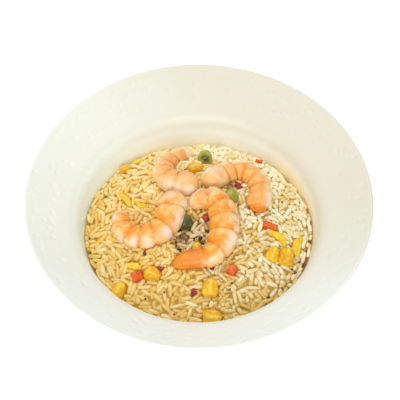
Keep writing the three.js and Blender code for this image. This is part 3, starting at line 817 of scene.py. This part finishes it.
PRAWN_FLATNESS = 0.85
PRAWN_SINK = 1
HEAD_ROUND = 0.13
TAIL_ROUND = 0.1
PRAWN_ALONG = 160
PRAWN_AROUND = 48
PRAWNS = {
    "prawn_front": {
        "spine": [
            (-3.8, 2.9), (1.2, 8.4), (7.4, 10.4), (12.8, 4.8), (15.4, -5.8), (15.2, -17), (11.6, -25.2),
            (5, -30.2), (-4.5, -31.6), (-15.5, -34.8),
        ],
        "depths": (5.8, 6.4, 7.3, 8.1, 8.5, 8.5, 8.1, 7.1, 5.9, 5.1, 3.8),
        "joints": (0.15, 0.27, 0.385, 0.52, 0.655, 0.765),
        "orange": 1.3, "pink": 0.15, "tail_from": 0.765, "tip_highlight_from": 1.2, "pale_head": 0.4, "seed": 1.7,
    },
    "prawn_left": {
        "spine": [
            (-16, 15), (-16, 4.5), (-18.2, -5.2), (-23.6, -13), (-31.5, -15.8), (-39.5, -14.2), (-45.4, -8.6),
            (-47.6, -1), (-47.2, 5.4),
        ],
        "depths": (7.4, 8.4, 8.7, 8.4, 7.8, 7.5, 7.5, 7.1, 6.2, 5.5, 5),
        "joints": (0.19, 0.38, 0.5, 0.605, 0.71, 0.86),
        "orange": 1.15, "pink": 0.05, "tail_from": 1.2, "tip_highlight_from": 0.93, "pale_head": 0.7, "seed": 5.1,
    },
    "prawn_back": {
        "spine": [
            (-0.4, 17.8), (-7.2, 21.4), (-15.3, 23.8), (-21, 29.8), (-21.6, 38.6), (-17, 46.8), (-10.2, 52.2),
            (-3.6, 53.2),
        ],
        "depths": (6.8, 7.6, 7.8, 7.5, 7.2, 6.8, 5.8, 4.9, 4.4, 4.1, 3.6),
        "joints": (0.243, 0.4, 0.53, 0.655, 0.78, 0.92),
        "orange": 0.35, "pink": 1.0, "tail_from": 1.2, "tip_highlight_from": 0.89, "pale_head": 0.1, "seed": 8.3,
    },
    "prawn_right": {
        "spine": [
            (1.4, 24.6), (9, 26.8), (16.6, 32.4), (24.4, 35.6), (32, 33.2), (37.6, 27), (38.6, 18.6),
            (37.2, 10.8), (36.6, 4),
        ],
        "depths": (6.4, 7, 7, 6.5, 6.3, 6.3, 6.3, 6.5, 6.9, 7, 6.2),
        "joints": (0.26, 0.37, 0.47, 0.58, 0.7, 0.95),
        "orange": 0.42, "pink": 0.6, "tail_from": 0.945, "tip_highlight_from": 1.2, "pale_head": 0.6, "seed": 12.9,
    },
}


def spine_line(points, samples=600):
    """Even steps along a smooth line through the points: places and directions."""
    points = [np.array(point, float) for point in points]
    padded = [2 * points[0] - points[1], *points, 2 * points[-1] - points[-2]]
    line = []
    for a, b, c, d in zip(padded, padded[1:], padded[2:], padded[3:]):
        ab, bc, cd = (np.linalg.norm(q - p) ** 0.5 for p, q in ((a, b), (b, c), (c, d)))
        start = ((b - a) / ab - (c - a) / (ab + bc) + (c - b) / bc) * bc
        end = ((c - b) / bc - (d - b) / (bc + cd) + (d - c) / cd) * bc
        for t in np.linspace(0, 1, 80, endpoint=False):
            line.append(
                (2 * t ** 3 - 3 * t ** 2 + 1) * b + (t ** 3 - 2 * t ** 2 + t) * start
                + (3 * t ** 2 - 2 * t ** 3) * c + (t ** 3 - t ** 2) * end
            )
    line = np.array([*line, points[-1]])
    run = np.concatenate([[0], np.cumsum(np.linalg.norm(np.diff(line, axis=0), axis=1))])
    even = np.linspace(0, run[-1], samples)
    places = np.stack([np.interp(even, run, line[:, axis]) for axis in (0, 1)], axis=1)
    ways = np.gradient(places, axis=0)
    return places, ways / np.linalg.norm(ways, axis=1)[:, None], run[-1]


def prawn_depth(t, depths):
    """Half the depth of a prawn at t from head (0) to tail (1), without its rounded ends."""
    return float(np.interp(t * (len(depths) - 1), range(len(depths)), depths))


def prawn_end(t):
    """How far the rounded ends have drawn the prawn in, 1 for not at all."""
    head = math.sqrt(max(0, 1 - (1 - min(t / HEAD_ROUND, 1)) ** 2))
    tail = math.sqrt(max(0, 1 - (max(t - 1 + TAIL_ROUND, 0) / TAIL_ROUND) ** 2))
    return head * tail


def prawn_tones(spec, at, t, outer, top, within, gap, crease):
    """The share of each colour at one corner, which lies within 0 to 1 between two joints."""
    patchy = 0.5 + 0.9 * rough(at, 6.5, spec["seed"] + 3)
    band = smooth_step(0.25, 0.9, within) * (1 - smooth_step(0.93, 1.0, within))
    window = bell(outer - 0.05, 0.55) if top > 0 else 0.6
    joint = bell(gap, 2.6) * (1 - 0.7 * max(0, outer))
    head = smooth_step(0.3, 0.16, t)
    warm = (
        0.8 * band * window * (0.1 + 1.2 * patchy) + 0.6 * joint + 0.3 * crease
        + 0.3 * smooth_step(0.1, -0.9, outer)
    )
    # Painted highlight: the prawn's outer side is painted paler.
    edge = smooth_step(0.15, 0.85, outer) * (1 - band * 0.3) * (0.7 + 0.5 * patchy)
    return {
        "orange": min(1, spec["orange"] * warm * (1 - spec["pale_head"] * head)),
        # pale: painted highlight on the outer side, with the paler flesh of the head; white: painted
        # highlight towards the tail's tip.
        "pale": min(1, edge + 0.6 * spec["pale_head"] * head),
        "white": smooth_step(spec["tip_highlight_from"], spec["tip_highlight_from"] + 0.06, t),
        "tail_part": smooth_step(spec["tail_from"], spec["tail_from"] + 0.035, t),
        "pink": spec["pink"],
    }


def prawn_shape(spec):
    """A peeled, cooked prawn lying on its side, curled, with a crease at each joint."""
    places, ways, run = spine_line(spec["spine"])
    marks = (-0.02, *spec["joints"], 1.02)
    bm = ball(PRAWN_AROUND, PRAWN_ALONG)
    tones = []
    for corner in bm.verts:
        t = math.acos(min(max(corner.co.z, -1), 1)) / math.pi
        around = math.atan2(corner.co.y, corner.co.x)
        outer, top = math.cos(around), math.sin(around)
        section = sum(t > mark for mark in marks[1:-1])
        start, end = marks[section], marks[section + 1]
        within = (t - start) / (end - start)
        gap = min(t - start if section else 1, end - t if section < len(marks) - 2 else 1) * run
        crease = bell(gap, 0.75)
        pillow = (4 * within * (1 - within)) ** 0.6 if 0 < within < 1 else 0
        swell = 1 + 0.08 * pillow + 0.05 * (within - 0.5) - 0.13 * crease * (1 + 0.4 * max(0, -outer))
        depth = prawn_depth(t, spec["depths"])
        girth = depth * prawn_end(t) * swell
        spot = t * (len(places) - 1)
        place = np.array([np.interp(spot, np.arange(len(places)), places[:, axis]) for axis in (0, 1)])
        way = ways[int(round(spot))]
        outward = Vector((-way[1], way[0], 0))
        level = float(heap_height(*place)) + PRAWN_FLATNESS * depth - PRAWN_SINK
        belly = 1 - 0.14 * max(0, -outer) ** 2 * abs(top)
        at = Vector((*place, level)) + outward * (girth * outer)
        at.z += PRAWN_FLATNESS * girth * top * belly
        lump = rough(at, 5.5, spec["seed"]) * 0.4 + rough(at, 2.1, spec["seed"]) * 0.16
        side = (outward * outer + Vector((0, 0, top))).normalized()
        corner.co = at + side * lump * min(1, girth / 4)
        tones.append(prawn_tones(spec, at, t, outer, top, within, gap, crease))
    bmesh.ops.recalc_face_normals(bm, faces=bm.faces)
    return bm, {key: [tone[key] for tone in tones] for key in tones[0]}


def prawn_meat():
    finish = Finish("prawn_meat", roughness=0.34, coat_weight=0.25, coat_roughness=0.15)
    cloud = finish.noise(210, 3, 0.8)
    fine = finish.noise(900, 3)
    body = finish.ramp(cloud, [(0.36, (246, 158, 44)), (0.5, (249, 180, 68)), (0.64, (251, 208, 118))])
    body = finish.mix(finish.times(finish.worn("pink"), 0.6), body, (252, 192, 132))
    # Painted highlights: paler peach and whitish patches along the outer side, and a whitish tint towards the
    # tail's tip.
    edge = finish.times(finish.worn("pale"), finish.between(cloud, 0.3, 0.6, 0.6, 1.15), True)
    body = finish.mix(finish.times(edge, 0.8), body, (253, 220, 160))
    painted_highlight = finish.times(finish.worn("pale"), finish.patches(150, 0.44, 0.57, 0.85), True)
    body = finish.mix(painted_highlight, body, (250, 236, 226))
    body = finish.mix(finish.times(finish.worn("white"), 0.8), body, (252, 238, 222))
    orange = finish.times(finish.worn("orange"), finish.between(cloud, 0.62, 0.38, 0.5, 1.3), True)
    body = finish.mix(orange, body, (249, 150, 14))
    tail = finish.ramp(fine, [(0.3, (236, 124, 2)), (0.7, (246, 156, 26))])
    body = finish.mix(finish.worn("tail_part"), body, tail)
    body = finish.mix(finish.between(fine, 0.55, 0.8, 0, 0.2), body, (255, 230, 196))
    finish.colour(body)
    finish.roughness(finish.between(fine, 0.2, 0.8, 0.24, 0.42))
    finish.juicy(0.2, 0.0015, (1.0, 0.6, 0.35))
    finish.bump(finish.noise(700, 3), 0.0003, 0.5)
    return finish.material


# Peas, sweetcorn, carrot and egg


def table(columns, **rows):
    """For each piece its values by the names of the columns."""
    return {piece: dict(zip(columns.split(), values)) for piece, values in rows.items()}


PEA_RADIUS = 4.8
# The dark column is painted shade: near 1 for the pea that lies in the prawns' shadow.
PEAS = table(
    "at lift wrinkle dark hollow",
    pea_back=((4, 47.8), 3.6, 1.0, 0.0, (-0.05, -0.8, 0.35)),
    pea_right=((19.8, 13.8), 2.8, 0.6, 0.1, (0.2, -0.6, -0.6)),
    pea_left=((-7.8, -5.4), 1.6, 0.5, 0.95, (0.8, -0.5, 0.2)),
)


def pea_shape(name, spec):
    """A ball with a wrinkled skin and a hollow where the skin has sunk in."""
    bm = ball(44, 32)
    seed = len(name) + spec["dark"]
    hollow_way = Vector(spec["hollow"]).normalized()
    dark = []
    for corner in bm.verts:
        way = corner.co.normalized()
        ridge = 1 - abs(rough(way * 4.8, 3.4, seed))
        wrinkle = max(0, ridge - 0.72) * 1.9 * spec["wrinkle"]
        aside = 1 - way.dot(hollow_way) + 0.12 * rough(way * 4.8, 2.6, seed + 5)
        sunk = bell(aside, 0.2)
        corner.co = way * (PEA_RADIUS * (1 + 0.04 * rough(way * 4.8, 5, seed + 2)) - wrinkle - 1.0 * sunk)
        # Painted shade, darker still in the sunk hollow.
        dark.append(min(1, spec["dark"] + sunk * (1 + rough(way * 4.8, 1.5, seed))))
    lay_on_heap(bm, spec["at"], spec["lift"])
    return bm, {"dark": dark}


def pea_skin():
    finish = Finish("pea_skin", roughness=0.34, coat_weight=0.3, coat_roughness=0.2)
    cloud = finish.noise(260, 3, 0.5)
    fresh = finish.ramp(cloud, [(0.3, (146, 146, 26)), (0.65, (194, 188, 56))])
    # Painted shade: the darker ramp is used where dark is high.
    cooked = finish.ramp(cloud, [(0.3, (44, 58, 24)), (0.7, (86, 98, 44))])
    body = finish.mix(finish.worn("dark"), fresh, cooked)
    finish.colour(finish.mix(finish.patches(1300, 0.55, 0.8, 0.35), body, (196, 190, 96)))
    finish.juicy(0.2, 0.0015, (0.6, 1.0, 0.2))
    finish.bump(finish.noise(1200), 0.0002, 0.5)
    return finish.material


CORN_WIDTH, CORN_LENGTH, CORN_THICKNESS = 9.4, 11.4, 6.2
KERNELS = table(
    "at lift turn tip size",
    corn_back=((-2.4, 39), 1.2, 10, 6, 0.8),
    corn_right=((52, -23.6), 2.9, 84, 14, 1.1),
    corn_right_low=((44.4, -23.2), 1.3, 72, 6, 0.95),
    corn_middle=((6.8, -48.2), 2.6, 84, 14, 1.12),
    corn_left=((-27.2, -38), 2.6, -24, 18, 1.0),
    corn_low_left=((-46.8, -45), 2.2, 58, -10, 0.95),
    corn_low=((7.8, -63.6), 1.8, 4, 4, 1.08),
    corn_far_left=((-46.4, 46), 1.1, 20, -8, 0.72),
    corn_inner=((-0.9, -22.6), 1.3, 92, 8, 0.72),
)


def kernel_shape(spec):
    """Broad and dented at its crown, narrow at the end that sat on the cob, with a ridge on top."""
    bm = lengthways_ball(44, 32)
    seed = spec["at"][0]
    half = Vector((CORN_LENGTH, CORN_WIDTH, CORN_THICKNESS)) / 2 * spec["size"]
    crown, ridges = [], []
    for corner in bm.verts:
        x = corner.co.x
        y, z = squared(corner.co.y, corner.co.z, 0.7)
        ridge = bell(y, 0.22) * smooth_step(-0.75, -0.2, x) if z > 0 else 0
        dent = 0.16 * math.exp(-((y / 0.5) ** 2) - (z / 0.6) ** 2) * smooth_step(-0.4, -0.8, x)
        crown.append(smooth_step(0.2, -0.9, x))
        ridges.append(ridge)
        y *= 1 - 0.3 * (x + 0.4)
        z *= 0.9 + 0.16 * ridge
        ripple = 0.04 * rough((x * 3, y * 3, z * 3), 1.4, seed)
        place = Vector((boxy(x, 0.5 if x > 0 else 0.85) + dent, y, z)) * (1 + ripple)
        corner.co = Vector((place.x * half.x, place.y * half.y, place.z * half.z))
    bmesh.ops.recalc_face_normals(bm, faces=bm.faces)
    lay_on_heap(bm, spec["at"], spec["lift"], spec["turn"], spec["tip"])
    return bm, {"crown": crown, "ridge": ridges}


def corn_skin():
    finish = Finish("corn_skin", roughness=0.34, coat_weight=0.15, coat_roughness=0.12)
    cloud = finish.noise(330, 3, 0.4)
    body = finish.ramp(cloud, [(0.3, (206, 142, 0)), (0.5, (230, 174, 0)), (0.7, (248, 204, 0))])
    body = finish.mix(finish.times(finish.worn("crown"), 0.4), body, (252, 208, 24))
    # Painted highlight along the ridge on top of the kernel.
    body = finish.mix(finish.times(finish.worn("ridge"), 0.7), body, (254, 224, 84))
    body = finish.mix(finish.patches(170, 0.48, 0.7, 0.7), body, (222, 150, 0))
    finish.colour(body)
    # Painted glow of the kernel's own colour, which lifts its shade.
    finish.painted_glow(body, 0.06)
    finish.juicy(0.3, 0.002, (1.0, 0.7, 0.1))
    finish.bump(finish.noise(800), 0.0002, 0.4)
    return finish.material


DICE_SKEW = 0.12
DICE_NARROW = 0.86
DICE_TIP = 10
CARROTS = table(
    "at lift turn size",
    carrot_left=((-36, -38.6), 1.8, 20, (6.4, 5.8, 5.4)),
    carrot_middle=((20.1, -36.2), 1.8, 52, (5.8, 5.4, 5.2)),
    carrot_right=((43.4, -4.6), 1.4, -24, (9, 4.4, 3.8)),
    carrot_back=((38.3, 50.6), 0.9, -12, (4.6, 3, 2.8)),
)


def diced(size, seed):
    """A cut cube with slightly rounded edges and uneven cut faces."""
    bm = bmesh.new()
    bmesh.ops.create_cube(bm, size=1)
    bmesh.ops.scale(bm, vec=size, verts=bm.verts)
    for corner in bm.verts:
        corner.co.x += DICE_SKEW * corner.co.z
        corner.co.y *= DICE_NARROW if corner.co.x > 0 else 1
    bmesh.ops.bevel(
        bm, geom=bm.edges[:], offset=min(size) * 0.14, segments=3, profile=0.5, affect="EDGES", material=-1
    )
    bmesh.ops.subdivide_edges(bm, edges=bm.edges[:], cuts=3, use_grid_fill=True)
    bmesh.ops.triangulate(bm, faces=[face for face in bm.faces if len(face.verts) > 4])
    for corner in bm.verts:
        lump = 0.28 * rough(corner.co, 2.2, seed) + 0.1 * rough(corner.co, 0.9, seed)
        corner.co += corner.co.normalized() * lump
    bmesh.ops.recalc_face_normals(bm, faces=bm.faces)
    return bm


def carrot_shape(spec):
    bm = diced(spec["size"], spec["turn"] / 10)
    lay_on_heap(bm, spec["at"], spec["lift"], spec["turn"], DICE_TIP)
    return bm


def carrot_flesh():
    finish = Finish("carrot_flesh", roughness=0.42, coat_weight=0.1, coat_roughness=0.2)
    fibre = finish.noise(700, 3, 0.3, finish.stretched(1, 0.4, 1))
    body = finish.ramp(fibre, [(0.3, (212, 70, 2)), (0.55, (230, 98, 6)), (0.8, (244, 132, 24))])
    finish.colour(finish.mix(finish.patches(240, 0.5, 0.75, 0.35), body, (252, 158, 60)))
    finish.juicy(0.3, 0.002, (1.0, 0.4, 0.1))
    finish.bump(finish.noise(1400), 0.0002, 0.6)
    return finish.material


EGG_THICKNESS = 2.2
EGG_WAVE = 0.5
EGGS = table(
    "at lift turn length width bend",
    egg_right=((48.6, -11), 2.0, -34, 15, 5, 95),
    egg_far_right=((59.2, -15.2), 1.8, 84, 13.5, 6.2, 40),
    egg_left=((-44.8, 16.6), 1.8, -58, 16, 4.2, 40),
    egg_inner_left=((-35, 9.6), 1.5, -30, 9.5, 3.8, -80),
    egg_low_left=((-38.2, -31.6), 1.3, -24, 10, 5, 40),
)


def egg_shape(spec):
    """A torn flake of cooked egg: a thick wavy sheet bent into an arc, with curds on it."""
    bm = lengthways_ball(56, 30)
    arc = radians(spec["bend"])
    arc_radius = spec["length"] / arc
    seed = spec["turn"] / 7
    for corner in bm.verts:
        x, y, z = corner.co
        side, up = squared(y, z, 0.6)
        half = (boxy(x, 0.8) * spec["length"] / 2, side * spec["width"] / 2, up * EGG_THICKNESS / 2)
        place = Vector(half)
        torn = 1 + 0.22 * rough((place.x, 0, 4), 2.4, seed)
        curd = 0.55 * abs(rough(place, 1.9, seed)) + 0.2 * rough(place, 0.9, seed)
        place.y = place.y * torn
        place.z += math.copysign(curd, z) * 0.7
        along = place.x / spec["length"]
        radius = arc_radius + place.y * (1 - 0.5 * abs(along))
        level = place.z + EGG_WAVE * math.sin(along * 3 * math.pi)
        angle = along * arc
        corner.co = Vector((radius * math.sin(angle), radius * math.cos(angle) - arc_radius, level))
    bmesh.ops.recalc_face_normals(bm, faces=bm.faces)
    lay_on_heap(bm, spec["at"], spec["lift"], spec["turn"])
    return bm


def cooked_egg():
    finish = Finish("cooked_egg", roughness=0.5)
    cloud = finish.noise(420, 3, 0.5)
    body = finish.ramp(cloud, [(0.3, (238, 188, 20)), (0.55, (250, 210, 38)), (0.8, (254, 228, 96))])
    finish.colour(finish.mix(finish.patches(160, 0.5, 0.75, 0.5), body, (252, 222, 84)))
    finish.juicy(0.3, 0.0015, (1.0, 0.8, 0.2))
    finish.bump(finish.noise(1100, 3), 0.0003, 0.7)
    return finish.material


# Crumbs that are part of the rice: ham, pale egg and pepper, with flecks of painted shadow

HAM = [
    {"at": (-21.9, -35.5), "size": (5.2, 3.6, 3)},
    {"at": (-2.6, -50), "size": (5, 4, 3)},
    {"at": (24.6, 24.2), "size": (6.4, 4.4, 2.6)},
    {"at": (4.8, -2.8), "size": (4.2, 6.4, 2.6)},
]
EGG_CRUMBS = [
    {"at": (-38.6, 51.6), "size": (6, 3.2, 2.4)},
    {"at": (-28.4, 37.5), "size": (6.4, 4, 2.8)},
    {"at": (62.6, -8.6), "size": (5, 3.4, 2.8)},
]
CRUMB_LIFT = 1.4


def torn(size, seed):
    """A torn crumb: a lump with hollows and corners."""
    bm = bmesh.new()
    bmesh.ops.create_icosphere(bm, subdivisions=3, radius=0.5)
    for corner in bm.verts:
        way = corner.co.normalized()
        corner.co *= 1 + 0.45 * rough(way * 3, 2.1, seed) + 0.2 * rough(way * 3, 0.9, seed)
        corner.co = Vector(c * s for c, s in zip(corner.co, size))
    return bm


def joined(pieces):
    """Several shapes as one."""
    whole = bmesh.new()
    for bm in pieces:
        mesh = mesh_of("joined", bm)
        whole.from_mesh(mesh)
        bpy.data.meshes.remove(mesh)
    return whole


def joined_crumbs(name, crumbs, material):
    pieces = []
    for i, crumb in enumerate(crumbs):
        bm = torn(crumb["size"], i + 2.3)
        lay_on_heap(bm, crumb["at"], CRUMB_LIFT, math.degrees(i))
        pieces.append(bm)
    return finished(name, joined(pieces), material)


# Ground pepper, browned crumbs and shreds of ham: place, size and tone, from black (0) over brown (0.5) to
# maroon (1).
# The black flecks at (21, 25.6) and (-11.6, -8.4) are painted shadow, and the maroon ones at (18.4, -28.6)
# and (8.5, -36.4) are ham that is partly painted shade.
FLECKS = [
    (1.2, -17, 2.4, 0), (-1.6, -17.8, 2.0, 0), (3, -18.6, 1.8, 0), (-10.8, -24.9, 2.3, 0),
    (-12.2, -24.4, 1.4, 0), (4.8, -20.6, 2.0, 0.5), (-7, -17.2, 2.4, 0.4), (-13.4, -18.4, 2.6, 0.3),
    (-32.3, -24.6, 3.2, 0.8), (-38.9, -28.6, 2, 0.6), (18.4, -28.6, 3.4, 0.9), (8.5, -36.4, 3.4, 1),
    (21, 25.6, 3.6, 0), (-11.6, -8.4, 2.8, 0), (18.6, -48.4, 1.8, 0.5), (20, -44.6, 1.4, 0.3),
    (61.4, -25.6, 1.6, 0.4), (58.8, -32.6, 2, 0.5), (53.8, -39.6, 2.2, 0.9), (50.6, -44, 1.8, 0.4),
    (42, -50.6, 2, 0.3), (47.6, -46.8, 1.6, 0.5), (57, -30.2, 1.7, 0), (-20.4, -50, 1.5, 0.5),
    (30.4, -57.6, 1.8, 0.5), (-31.6, -53, 1.7, 0.3), (-57, 12.6, 1.4, 0.5), (-58, 22, 1.8, 0.6),
    (46, 31, 1.6, 0.4), (-14.4, -62.6, 1.6, 0.4), (52, 15, 1.4, 0.5), (33, -18, 1.3, 0.5),
    (38, -40, 1.4, 0.5), (28, -52, 1.3, 0.4), (62, 4, 1.5, 0.5), (30, -8, 1.4, 0.5),
    (44, 6, 1.3, 0.5),
]


def flecks_on_rice(chance, pile):
    pieces, tones = [], []
    for x, y, size, tone in FLECKS:
        bm = torn([size * chance.uniform(0.6, 1.1) for _ in range(3)], x)
        level = height_at(pile, x, y)
        turn = Matrix.Rotation(2 * math.pi * chance.random(), 4, "Z")
        bmesh.ops.transform(bm, matrix=Matrix.Translation((x, y, level + 0.2)) @ turn, verts=bm.verts)
        tones += [tone] * len(bm.verts)
        pieces.append(bm)
    return finished("flecks_on_rice", joined(pieces), pepper_and_shadow_flecks(), (), {"tone": tones})


def pepper_and_shadow_flecks():
    finish = Finish("pepper_and_shadow_flecks", roughness=0.6)
    speckle = finish.noise(1500)
    black = finish.ramp(speckle, [(0.35, (20, 12, 12)), (0.7, (62, 40, 30))])
    brown = finish.ramp(speckle, [(0.35, (104, 66, 26)), (0.7, (158, 112, 56))])
    maroon = finish.ramp(speckle, [(0.35, (104, 28, 34)), (0.7, (158, 64, 54))])
    # Black for pepper and for painted shadow, brown for crumbs, and maroon for ham that is partly painted
    # shade.
    body = finish.mix(finish.between(finish.worn("tone"), 0.1, 0.5), black, brown)
    finish.colour(finish.mix(finish.between(finish.worn("tone"), 0.6, 0.9), body, maroon))
    finish.bump(finish.noise(1800), 0.0002, 0.6)
    return finish.material


def ham_flesh():
    finish = Finish("ham_flesh", roughness=0.4)
    cloud = finish.noise(500, 3, 0.5)
    finish.colour(finish.ramp(cloud, [(0.3, (120, 24, 36)), (0.6, (176, 54, 52)), (0.85, (214, 110, 84))]))
    finish.juicy(0.2, 0.0015, (1.0, 0.3, 0.2))
    finish.bump(finish.noise(1400), 0.0002, 0.6)
    return finish.material


# Light and floor


def make_light(name, place, aim, size, power):
    data = bpy.data.lights.new(name, "AREA")
    data.shape = "RECTANGLE"
    data.size, data.size_y = size
    data.energy = power
    lamp = linked(name, data)
    lamp.location = place
    lamp.rotation_euler = (Vector(aim) - Vector(place)).to_track_quat("-Z", "Y").to_euler()


def make_floor():
    bm = bmesh.new()
    bmesh.ops.create_grid(bm, x_segments=8, y_segments=8, size=2.5)
    mesh = mesh_of("floor", bm)
    finish = Finish("pale_floor", roughness=0.9)
    cloud = finish.noise(6)
    finish.colour(finish.ramp(cloud, [(0.3, (0.9, 0.9, 0.9, 1)), (0.7, (0.92, 0.92, 0.92, 1))]))
    finish.shader.inputs["Emission Color"].default_value = (1, 1, 1, 1)
    finish.shader.inputs["Emission Strength"].default_value = 0.3
    mesh.materials.append(finish.material)
    linked("floor", mesh)


def make_room():
    world = bpy.data.worlds.new("studio")
    world.use_nodes = True
    world.node_tree.nodes["Background"].inputs["Color"].default_value = (1, 1, 1, 1)
    world.node_tree.nodes["Background"].inputs["Strength"].default_value = 0.7
    bpy.context.scene.world = world
    bpy.context.scene.view_settings.view_transform = "Standard"
    make_light("key", (-0.2, 0.3, 0.95), (0, 0, 0.04), (0.7, 0.7), 2.65)
    make_light("fill", (-0.1, -1.0, 0.6), (0, 0, 0.04), (1.0, 0.6), 4.6)


make_floor()
make_room()

chance = np.random.default_rng(20417)
bowl = turned(bowl_profile(), BOWL_TURNS)
press_pits(bowl, chance)
finished("bowl_glazed", bowl, glaze(), ["bowl"])

meat, skin, kernel_skin, flesh, egg = prawn_meat(), pea_skin(), corn_skin(), carrot_flesh(), cooked_egg()
toppings = {}
for name, spec in PRAWNS.items():
    toppings[name] = (*prawn_shape(spec), meat, "prawn")
for name, spec in PEAS.items():
    toppings[name] = (*pea_shape(name, spec), skin, "pea")
for name, spec in KERNELS.items():
    toppings[name] = (*kernel_shape(spec), kernel_skin, "corn")
for name, spec in CARROTS.items():
    toppings[name] = (carrot_shape(spec), None, flesh, "carrot")
for name, spec in EGGS.items():
    toppings[name] = (egg_shape(spec), None, egg, "egg")

trees = []
for name, (bm, values, material, slot) in toppings.items():
    corners = np.array([corner.co for corner in bm.verts])
    trees.append((BVHTree.FromBMesh(bm), Vector(corners.min(0)), Vector(corners.max(0))))
    finished(name + "_cooked", bm, material, [name], values)

grains, pile = settle_grains(chance, topping_undersides(trees))
rice_core(pile)
grain_finish = oily_grain()
for kind in GRAIN_KINDS:
    grain_piece(kind, grains, grain_finish)
joined_crumbs("ham_bits", HAM, ham_flesh())
joined_crumbs("egg_crumbs", EGG_CRUMBS, egg)
flecks_on_rice(chance, pile)
